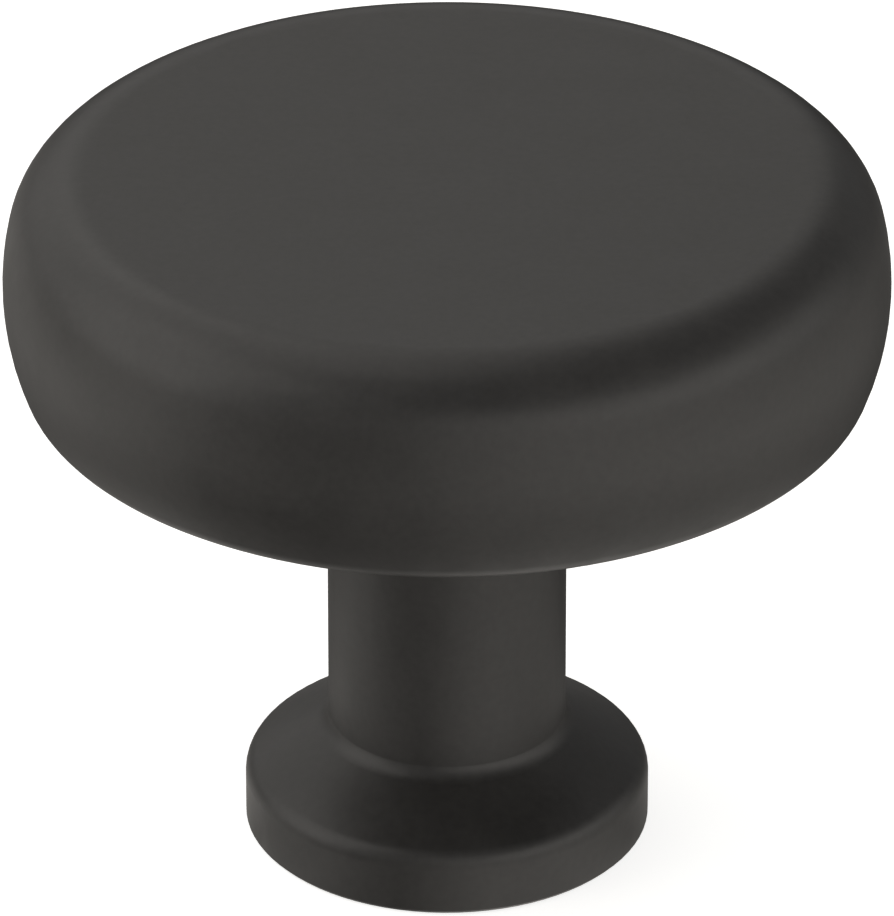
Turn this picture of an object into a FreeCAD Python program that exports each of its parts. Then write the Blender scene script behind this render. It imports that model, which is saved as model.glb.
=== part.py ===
import FreeCAD, Part
import math
import os

# A cabinet knob cast in one piece: a flat-topped round head on a straight stem, with a coned foot.
# Lengths are in millimetres and angles in degrees. Z runs up the knob's axis. The origin is the
# middle of the seat that lies on the drawer front.

# Head
overall_height = 26.37
head_diameter = 31.75
head_thickness = 8.16
widest_below_top = 4.24        # depth of the head's widest line under its flat top
side_radius = 9.32             # bulge of the head's side
top_edge_radius = 2.75
under_edge_radius = 1.0

# Stem
stem_diameter = 8.66
stem_flare_radius = 2.2        # where the stem widens a little into the head's underside
stem_flare_turn = 34.0

# Foot
foot_diameter = 14.74
rim_height = 1.85              # up to where the rim's upper edge starts to turn
rim_edge_radius = 0.85
seat_chamfer = 0.18
cone_slope = 31.0              # from level
cove_radius = 0.97             # hollow curve that sweeps from the stem out into the cone
cove_lean = 18.4               # from upright, where the curve meets the stem at a fine line

# Seat and screw hole
seat_width = 1.4               # flat ring that bears on the drawer front
recess_depth = 0.4             # of the underside inside that ring
thread_diameter = 4.166        # at the thread's roots, for a number 8 screw with 32 threads to the inch
hole_depth = 14.0              # from the seat to the end of the hole's wall
countersink_diameter = 5.2
countersink_angle = 90.0
drill_point_angle = 118.0


# A point of the profile, which is drawn as (radius, height), on a circle round a centre.
# The angle is counted from straight outwards, and is positive upwards.
def on_circle(centre, radius, angle):
    turn = math.radians(angle)
    return (centre[0] + radius * math.cos(turn), centre[1] + radius * math.sin(turn))


# An arc of the profile, as its start, middle and end.
def arc(centre, radius, start, end):
    return [on_circle(centre, radius, angle) for angle in (start, (start + end) / 2, end)]


# Turns a closed profile round the Z axis. It is made of corners and arcs, which straight lines join.
def turned(profile):
    stretches = [[FreeCAD.Vector(r, 0, z) for r, z in stretch] for stretch in profile]
    edges = []
    for stretch, following in zip(stretches, stretches[1:] + stretches[:1]):
        if len(stretch) == 3:
            edges.append(Part.Arc(*stretch).toShape())
        if not stretch[-1].isEqual(following[0], 1e-6):
            edges.append(Part.makeLine(stretch[-1], following[0]))
    face = Part.Face(Part.Wire(edges))
    return face.revolve(FreeCAD.Vector(0, 0, 0), FreeCAD.Vector(0, 0, 1), 360)


# The head from the middle of its top round to its underside: a flat top, a rounded edge, a gently
# bulging side and a tighter lower edge. Each rounded edge runs smoothly into the side.
def head_profile():
    widest_height = overall_height - widest_below_top
    side_centre = (head_diameter / 2 - side_radius, widest_height)

    def edge_centre(radius, height):
        reach = side_radius - radius
        rise = height - widest_height
        centre = (side_centre[0] + math.sqrt(reach ** 2 - rise ** 2), height)
        return centre, math.degrees(math.asin(rise / reach))

    top_centre, top_angle = edge_centre(top_edge_radius, overall_height - top_edge_radius)
    under_centre, under_angle = edge_centre(under_edge_radius, underside_height + under_edge_radius)
    return [
        [(0, overall_height)],
        arc(top_centre, top_edge_radius, 90, top_angle),
        arc(side_centre, side_radius, top_angle, under_angle),
        arc(under_centre, under_edge_radius, under_angle, -90),
    ]


# The stem's flare under the head, which runs smoothly down into its straight side.
def stem_profile():
    flare_height = stem_flare_radius * math.sin(math.radians(stem_flare_turn))
    flare_centre = (stem_radius + stem_flare_radius, underside_height - flare_height)
    return [arc(flare_centre, stem_flare_radius, 180 - stem_flare_turn, 180)]


# The foot from the stem down to the seat: a hollow curve that sweeps out into a cone, a rounded
# shoulder and a straight rim.
def foot_profile():
    shoulder_centre = (foot_radius - rim_edge_radius, rim_height)
    cone_normal = 90 - cone_slope
    cone_start = on_circle(shoulder_centre, rim_edge_radius, cone_normal)
    slope = math.radians(cone_slope)

    cove_reach = stem_radius + cove_radius * math.cos(math.radians(cove_lean))
    cone_rise = (cone_start[0] - cove_reach) * math.sin(slope)
    cove_height = cone_start[1] + (cove_radius + cone_rise) / math.cos(slope)
    return [
        arc((cove_reach, cove_height), cove_radius, 180 + cove_lean, 180 + cone_normal),
        arc(shoulder_centre, rim_edge_radius, cone_normal, 0),
        [(foot_radius, seat_chamfer)],
        [(foot_radius - seat_chamfer, 0)],
        [(0, 0)],
    ]


# The shallow hollow in the underside, which leaves a flat ring to bear on the drawer front.
def seat_recess():
    recess_radius = foot_radius - seat_chamfer - seat_width
    return Part.makeCylinder(recess_radius, recess_depth)


# The blind screw hole, with its countersunk mouth and the point that the drill leaves.
def screw_hole():
    thread_radius = thread_diameter / 2
    mouth_radius = countersink_diameter / 2
    mouth_depth = (mouth_radius - thread_radius) / math.tan(math.radians(countersink_angle / 2))
    point_depth = thread_radius / math.tan(math.radians(drill_point_angle / 2))
    return turned([
        [(0, 0)],
        [(mouth_radius, 0)],
        [(mouth_radius, recess_depth)],
        [(thread_radius, recess_depth + mouth_depth)],
        [(thread_radius, hole_depth)],
        [(0, hole_depth + point_depth)],
    ])


stem_radius = stem_diameter / 2
foot_radius = foot_diameter / 2
underside_height = overall_height - head_thickness

knob = turned(head_profile() + stem_profile() + foot_profile())
knob = knob.cut(seat_recess()).cut(screw_hole())

os.makedirs("parts", exist_ok=True)
knob.exportStep("parts/knob.step")
print("knob:", len(knob.Solids), "solid,", round(knob.Volume), "cubic millimetres, valid:", knob.isValid())
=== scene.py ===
import math
import bpy
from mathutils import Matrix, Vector


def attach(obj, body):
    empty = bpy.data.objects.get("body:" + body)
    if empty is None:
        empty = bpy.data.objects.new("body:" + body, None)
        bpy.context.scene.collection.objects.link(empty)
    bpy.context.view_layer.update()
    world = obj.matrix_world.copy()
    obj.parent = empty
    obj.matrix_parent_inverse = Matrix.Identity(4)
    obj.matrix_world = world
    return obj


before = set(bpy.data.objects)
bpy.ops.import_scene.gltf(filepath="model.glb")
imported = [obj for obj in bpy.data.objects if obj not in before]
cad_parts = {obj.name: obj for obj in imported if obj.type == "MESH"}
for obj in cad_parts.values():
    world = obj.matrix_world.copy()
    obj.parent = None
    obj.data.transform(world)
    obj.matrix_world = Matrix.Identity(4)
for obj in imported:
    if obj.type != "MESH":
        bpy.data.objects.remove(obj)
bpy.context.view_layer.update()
print("stage: frame loaded")

mm = 0.001


# turns a hex colour, as picked on screen, to the linear one that the shaders take
def hexToLinear(code):
    channels = [int(code[i:i + 2], 16) / 255 for i in (1, 3, 5)]
    linear = [c / 12.92 if c <= 0.04045 else ((c + 0.055) / 1.055) ** 2.4 for c in channels]
    return (*linear, 1.0)


# Adds one node with its settings and the links into it. A link goes by the socket's name, or by its
# number where the node's sockets share a name.
def addNode(tree, kind, settings=None, links=None):
    node = tree.nodes.new(kind)
    for name, value in (settings or {}).items():
        if name in node.inputs:
            node.inputs[name].default_value = value
        else:
            setattr(node, name, value)
    for socket, source in (links or {}).items():
        tree.links.new(source, node.inputs[socket])
    return node


def newMaterial(name):
    material = bpy.data.materials.new(name)
    material.use_nodes = True
    material.node_tree.nodes.clear()
    return material, material.node_tree


def deselectAll():
    if bpy.context.mode != "OBJECT":
        bpy.ops.object.mode_set(mode="OBJECT")
    bpy.ops.object.select_all(action="DESELECT")


# Satin black powder coat: polyester powder, sprayed on the casting dry and baked until it flows.
# The eye gets a deep, slightly warm black with a broad, soft sheen. The powder flows almost level,
# which leaves a faint orange peel and faint clouds where it lies thicker. Its own grain is about
# 0.04 mm, too fine to show here, so the specks are drawn coarser.
satinBlackPowderCoat = {
    "colour": "#2b2a29",
    "ior": 1.5,
    "roughness": 0.42,
    "roughnessSpread": 0.04,
    "cloudSize": 2.0 * mm,
    "cloudTone": 0.12,
    "speckSize": 0.3 * mm,
    "speckTone": 0.14,
    "peelSize": 0.45 * mm,
    "peelHeight": 0.0025 * mm,
    "noiseLow": 0.25,             # nearly all of a noise lies between these two
    "noiseHigh": 0.75,
}


def makeSatinBlackPowderCoat():
    coat = satinBlackPowderCoat
    fromNoise = {"From Min": coat["noiseLow"], "From Max": coat["noiseHigh"]}
    material, tree = newMaterial("satinBlackPowderCoat")
    place = addNode(tree, "ShaderNodeTexCoord").outputs["Object"]
    clouds = addNode(tree, "ShaderNodeTexNoise", {"Scale": 1 / coat["cloudSize"], "Detail": 3},
                     {"Vector": place})
    specks = addNode(tree, "ShaderNodeTexNoise", {"Scale": 1 / coat["speckSize"], "Detail": 2},
                     {"Vector": place})
    peel = addNode(tree, "ShaderNodeTexNoise", {"Scale": 1 / coat["peelSize"], "Detail": 2},
                   {"Vector": place})
    cloudTone = addNode(tree, "ShaderNodeMapRange", {
        **fromNoise, "To Min": -coat["cloudTone"], "To Max": coat["cloudTone"],
    }, {"Value": clouds.outputs["Fac"]})
    speckTone = addNode(tree, "ShaderNodeMapRange", {
        **fromNoise, "To Min": 1 - coat["speckTone"], "To Max": 1 + coat["speckTone"],
    }, {"Value": specks.outputs["Fac"]})
    tone = addNode(tree, "ShaderNodeMath", {"operation": "ADD"},
                   {0: cloudTone.outputs["Result"], 1: speckTone.outputs["Result"]})
    colour = addNode(tree, "ShaderNodeHueSaturation", {"Color": hexToLinear(coat["colour"])},
                     {"Value": tone.outputs["Value"]})
    roughness = addNode(tree, "ShaderNodeMapRange", {
        **fromNoise,
        "To Min": coat["roughness"] - coat["roughnessSpread"],
        "To Max": coat["roughness"] + coat["roughnessSpread"],
    }, {"Value": clouds.outputs["Fac"]})
    bump = addNode(tree, "ShaderNodeBump", {"Distance": coat["peelHeight"]},
                   {"Height": peel.outputs["Fac"]})
    shader = addNode(tree, "ShaderNodeBsdfPrincipled", {"IOR": coat["ior"]}, {
        "Base Color": colour.outputs["Color"],
        "Roughness": roughness.outputs["Result"],
        "Normal": bump.outputs["Normal"],
    })
    addNode(tree, "ShaderNodeOutputMaterial", links={"Surface": shader.outputs["BSDF"]})
    return material


blackCoat = makeSatinBlackPowderCoat()

# The casting keeps its mesh. Its faces are joined for shading alone, so that the coat runs over the
# rounded edges without a line, and the baked coat rounds each true corner a little.
castKnob = {
    "joinDistance": 0.001 * mm,
    "cornerAngle": 22,            # degrees; a flatter one belongs to a rounded surface
    "coatRounding": 0.03 * mm,
    "roundingSteps": 2,
}


def finishCasting():
    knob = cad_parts["knob"]
    knob.data.materials.clear()
    knob.data.materials.append(blackCoat)
    join = knob.modifiers.new("join", "WELD")
    join.merge_threshold = castKnob["joinDistance"]
    corners = knob.modifiers.new("corners", "BEVEL")
    corners.limit_method = "ANGLE"
    corners.angle_limit = math.radians(castKnob["cornerAngle"])
    corners.width = castKnob["coatRounding"]
    corners.segments = castKnob["roundingSteps"]
    shading = knob.modifiers.new("shading", "WEIGHTED_NORMAL")
    shading.mode = "FACE_AREA"


finishCasting()
print("stage: coat on the casting")

# The tapped thread of the screw hole, for a number 8 screw with 32 threads to the inch. It is a
# ridge that winds up the hole's wall and is cut off in line with the countersunk mouth.
screwThread = {
    "pitch": 25.4 * mm / 32,
    "wallRadius": 2.083 * mm,
    "depth": 0.40 * mm,
    "rootInWall": 0.03 * mm,      # how far the ridge's root reaches into the wall
    "rootWidth": 0.875,           # shares of the pitch
    "crestWidth": 0.25,
    "start": 0.3 * mm,
    "turns": 16,
    "stepsPerTurn": 48,
    "joinDistance": 0.0001 * mm,
    "mouthRadius": 2.6 * mm,      # of the countersink, where it meets the recess
    "mouthHeight": 0.4 * mm,
    "mouthSides": 96,
}


def makeScrewThread():
    thread = screwThread
    inner = thread["wallRadius"] - thread["depth"]
    outer = thread["wallRadius"] + thread["rootInWall"]
    deselectAll()
    bpy.ops.mesh.primitive_plane_add(
        size=1, location=((inner + outer) / 2, 0, thread["start"]), rotation=(math.pi / 2, 0, 0))
    ridge = bpy.context.object
    ridge.name = "screw_thread"
    ridge.scale = (outer - inner, thread["pitch"] * thread["rootWidth"], 1)
    bpy.ops.object.transform_apply(location=True, rotation=True, scale=True)

    # the crest is narrower than the root
    bpy.ops.object.mode_set(mode="EDIT")
    bpy.ops.mesh.select_all(action="DESELECT")
    bpy.ops.object.mode_set(mode="OBJECT")
    for vertex in ridge.data.vertices:
        vertex.select = vertex.co.x < thread["wallRadius"]
    bpy.ops.object.mode_set(mode="EDIT")
    bpy.ops.transform.resize(value=(1, 1, thread["crestWidth"] / thread["rootWidth"]))
    bpy.ops.mesh.select_all(action="SELECT")
    bpy.ops.mesh.delete(type="ONLY_FACE")
    bpy.ops.object.mode_set(mode="OBJECT")

    wind = ridge.modifiers.new("wind", "SCREW")
    wind.screw_offset = thread["pitch"]
    wind.iterations = thread["turns"]
    wind.steps = wind.render_steps = thread["stepsPerTurn"]
    bpy.ops.object.modifier_apply(modifier="wind")

    # the ridge's two ends are closed
    bpy.ops.object.mode_set(mode="EDIT")
    bpy.ops.mesh.select_all(action="SELECT")
    bpy.ops.mesh.fill_holes(sides=4)
    bpy.ops.mesh.remove_doubles(threshold=thread["joinDistance"])
    bpy.ops.mesh.normals_make_consistent(inside=False)
    bpy.ops.object.mode_set(mode="OBJECT")

    # the countersink cuts the first turn off at 45 degrees
    reach = thread["mouthRadius"] + thread["mouthHeight"]
    deselectAll()
    bpy.ops.mesh.primitive_cone_add(
        vertices=thread["mouthSides"], radius1=2 * reach, radius2=0, depth=2 * reach, location=(0, 0, 0))
    cutter = bpy.context.object
    deselectAll()
    ridge.select_set(True)
    bpy.context.view_layer.objects.active = ridge
    cut = ridge.modifiers.new("countersink", "BOOLEAN")
    cut.operation = "DIFFERENCE"
    cut.object = cutter
    bpy.ops.object.modifier_apply(modifier="countersink")
    bpy.data.objects.remove(cutter)
    bpy.ops.object.shade_smooth_by_angle(angle=math.radians(castKnob["cornerAngle"]))
    ridge.data.materials.append(blackCoat)
    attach(ridge, "root")


makeScrewThread()
print("stage: screw thread")

# daylight lamps behind white cloth, which warms them a little
lampColour = "#fffbf5"

# A white table: a matt sheet that takes the lamps and the knob's shadow, and glows a little for the
# camera, so that it comes out white. The coat's reflections don't see that sheet but a painted
# reflection: glows that light nothing, patterned like lamps and dark gaps, close to the foot, around
# it and far off. Each of these glows goes by direction, where 0 is towards the camera and 90 is the
# picture's right, times a share by the distance from the knob's axis, whose dip at 32 mm is a
# painted shadow ring of the head.
whiteTable = {
    "colour": "#f4f4f2",
    "size": 3.0,
    "seenGlow": 0.72,
    # painted reflection: these glows and their shares show only in the coat's sheen
    "paintedReflectionByFoot": {-150: 0.0, -105: 0.65, -75: 0.45, -45: 0.75, -15: 0.3,
                   15: 1.05, 45: 0.95, 75: 0.3, 105: 0.4, 165: 0.0},
    "paintedReflectionShareByFoot": {8 * mm: 1.0, 18 * mm: 0.0, 250 * mm: 0.0},
    "paintedReflectionAround": {-165: 0.3, -135: 0.2, -105: 0.65, -75: 0.85, -45: 0.3, -15: 0.35,
                   15: 0.9, 45: 1.05, 75: 0.85, 105: 0.4, 135: 0.05, 165: 0.25},
    # painted shadow ring: the share dips at 32 mm, where the head's shade would fall
    "paintedReflectionShareAround": {8 * mm: 0.0, 18 * mm: 1.05, 32 * mm: 0.4, 55 * mm: 1.4,
                    100 * mm: 0.0, 250 * mm: 0.0},
    "paintedReflectionFarOff": {-165: 0.0, -135: 0.65, -105: 0.35, -75: 0.9, -45: 0.35, -15: 0.2,
                   15: 1.05, 45: 0.95, 75: 0.7, 105: 0.5, 135: 0.2, 165: 0.0},
    "paintedReflectionShareFarOff": {55 * mm: 0.0, 100 * mm: 1.0, 250 * mm: 1.0},
}


# sets a ramp's stops: at each place between 0 and 1, a share of one colour
def setStops(ramp, stops, colour):
    for place in list(stops)[1:-1]:
        ramp.elements.new(place)
    for element, (place, share) in zip(ramp.elements, stops.items()):
        element.position = place
        element.color = [share * channel for channel in hexToLinear(colour)[:3]] + [1]


def makeWhiteTable():
    look = whiteTable
    deselectAll()
    bpy.ops.mesh.primitive_plane_add(size=look["size"], location=(0, 0, 0))
    table = bpy.context.object
    table.name = "floor"
    material, tree = newMaterial("mattWhiteTableAndPaintedReflection")
    place = addNode(tree, "ShaderNodeTexCoord").outputs["Object"]

    # the direction, as a share of a full turn from straight behind the knob
    turned = addNode(tree, "ShaderNodeMapping", {"Scale": (1, -1, 1)}, {"Vector": place})
    split = addNode(tree, "ShaderNodeSeparateXYZ", links={"Vector": turned.outputs["Vector"]})
    direction = addNode(tree, "ShaderNodeMath", {"operation": "ARCTAN2"},
                        {0: split.outputs["X"], 1: split.outputs["Y"]})
    shareOfTurn = addNode(tree, "ShaderNodeMapRange", {"From Min": -math.pi, "From Max": math.pi},
                          {"Value": direction.outputs["Value"]})

    # the distance, as a share of the farthest that has a value of its own
    reach = max(look["paintedReflectionShareFarOff"])
    distance = addNode(tree, "ShaderNodeVectorMath", {"operation": "LENGTH"}, {"Vector": place})
    shareOfReach = addNode(tree, "ShaderNodeMapRange", {"From Max": reach},
                           {"Value": distance.outputs["Value"]})

    def addPaintedReflection(glow, share):
        byDirection = addNode(tree, "ShaderNodeValToRGB", links={"Fac": shareOfTurn.outputs["Result"]})
        setStops(byDirection.color_ramp,
                 {angle / 360 + 0.5: level for angle, level in glow.items()}, lampColour)
        byDistance = addNode(tree, "ShaderNodeValToRGB", links={"Fac": shareOfReach.outputs["Result"]})
        setStops(byDistance.color_ramp,
                 {radius / reach: part for radius, part in share.items()}, "#ffffff")
        light = addNode(tree, "ShaderNodeEmission", links={
            "Color": byDirection.outputs["Color"],
            "Strength": byDistance.outputs["Color"],
        })
        return light.outputs["Emission"]

    # the painted reflection, which only the coat's glossy reflections see
    byFoot = addPaintedReflection(look["paintedReflectionByFoot"], look["paintedReflectionShareByFoot"])
    around = addPaintedReflection(look["paintedReflectionAround"], look["paintedReflectionShareAround"])
    farAway = addPaintedReflection(look["paintedReflectionFarOff"], look["paintedReflectionShareFarOff"])
    nearby = addNode(tree, "ShaderNodeAddShader", links={0: byFoot, 1: around})
    paintedReflectionSum = addNode(tree, "ShaderNodeAddShader", links={0: nearby.outputs["Shader"], 1: farAway})

    rays = addNode(tree, "ShaderNodeLightPath")
    seenGlow = addNode(tree, "ShaderNodeMapRange", {"To Max": look["seenGlow"]},
                       {"Value": rays.outputs["Is Camera Ray"]})
    whitened = addNode(tree, "ShaderNodeEmission", links={"Strength": seenGlow.outputs["Result"]})
    matt = addNode(tree, "ShaderNodeBsdfDiffuse", {"Color": hexToLinear(look["colour"])})
    lit = addNode(tree, "ShaderNodeAddShader",
                  links={0: whitened.outputs["Emission"], 1: matt.outputs["BSDF"]})
    # glossy rays get the painted reflection instead of the lit sheet
    surface = addNode(tree, "ShaderNodeMixShader", links={
        "Fac": rays.outputs["Is Glossy Ray"], 1: lit.outputs["Shader"], 2: paintedReflectionSum.outputs["Shader"],
    })
    addNode(tree, "ShaderNodeOutputMaterial", links={"Surface": surface.outputs["Shader"]})
    material.cycles.emission_sampling = "NONE"
    table.data.materials.append(material)


makeWhiteTable()
print("stage: table")

cameraView = {
    "elevation": 29.1,
    "distance": 388.95 * mm,
    "target": (0, 0, 14.82 * mm),
    "lens": 424.0,
    "nearest": 10 * mm,           # what is closer isn't drawn
}


def makeCamera():
    data = bpy.data.cameras.new("camera")
    camera = bpy.data.objects.new("camera", data)
    bpy.context.scene.collection.objects.link(camera)
    tilt = math.radians(cameraView["elevation"])
    target = Vector(cameraView["target"])
    away = Vector((0, -math.cos(tilt), math.sin(tilt)))
    camera.location = target + away * cameraView["distance"]
    camera.rotation_mode = "QUATERNION"
    camera.rotation_quaternion = (-away).to_track_quat("-Z", "Y")
    data.lens = cameraView["lens"]
    data.clip_start = cameraView["nearest"]
    bpy.context.scene.camera = camera


makeCamera()
print("stage: camera")

# Each softbox, in degrees as seen from the knob: "middle" is its direction and its height over the
# table, and "span" how wide and how high it looks. "white" is how bright its cloth is, where 1 is
# white. The two that stand near make the left of the knob's top a little brighter.
farOff = 0.45
nearBy = 0.12
softBoxes = {
    "left": {"middle": (-85, 30), "span": (50, 60), "distance": farOff, "white": 1.17},
    "backLeft": {"middle": (-135, 36), "span": (50, 60), "distance": farOff, "white": 0.52},
    "back": {"middle": (-178, 36), "span": (36, 60), "distance": farOff, "white": 0.36},
    "frontLeft": {"middle": (-45, 30), "span": (30, 60), "distance": farOff, "white": 0.29},
    "overhead": {"middle": (-120, 78), "span": (30, 24), "distance": farOff, "white": 0.84},
    "nearHigh": {"middle": (-140, 50), "span": (30, 30), "distance": nearBy, "white": 0.33},
    "nearLow": {"middle": (-75, 12), "span": (30, 30), "distance": nearBy, "white": 0.30},
    "frontRight": {"middle": (10, 16), "span": (30, 30), "distance": farOff, "white": 0.84},
    "right": {"middle": (55, 16), "span": (60, 30), "distance": farOff, "white": 1.31},
    "sideRight": {"middle": (100, 16), "span": (30, 30), "distance": farOff, "white": 0.74},
}


def addSoftBox(name, box):
    data = bpy.data.lights.new(name, "AREA")
    data.shape = "RECTANGLE"
    data.size, data.size_y = (2 * box["distance"] * math.tan(math.radians(s / 2)) for s in box["span"])
    data.color = hexToLinear(lampColour)[:3]
    data.energy = box["white"] * math.pi * data.size * data.size_y
    lamp = bpy.data.objects.new(name, data)
    bpy.context.scene.collection.objects.link(lamp)
    turn, lift = (math.radians(angle) for angle in box["middle"])
    away = Vector((math.sin(turn) * math.cos(lift), -math.cos(turn) * math.cos(lift), math.sin(lift)))
    lamp.location = Vector(cameraView["target"]) + away * box["distance"]
    lamp.rotation_mode = "QUATERNION"
    lamp.rotation_quaternion = away.to_track_quat("Z", "Y")
    lamp.visible_camera = False


for boxName, box in softBoxes.items():
    addSoftBox(boxName, box)

# the white room, which the camera sees at full strength and the knob only as a weak fill
whiteRoom = {"colour": "#ffffff", "fill": 0.21}


def makeWhiteRoom():
    world = bpy.data.worlds.new("whiteRoom")
    bpy.context.scene.world = world
    world.use_nodes = True
    tree = world.node_tree
    tree.nodes.clear()
    rays = addNode(tree, "ShaderNodeLightPath")
    strength = addNode(tree, "ShaderNodeMapRange", {"To Min": whiteRoom["fill"], "To Max": 1.0},
                       {"Value": rays.outputs["Is Camera Ray"]})
    sky = addNode(tree, "ShaderNodeBackground", {"Color": hexToLinear(whiteRoom["colour"])},
                  {"Strength": strength.outputs["Result"]})
    addNode(tree, "ShaderNodeOutputWorld", links={"Surface": sky.outputs["Background"]})


makeWhiteRoom()
bpy.context.scene.view_settings.view_transform = "Standard"
print("stage: lights")
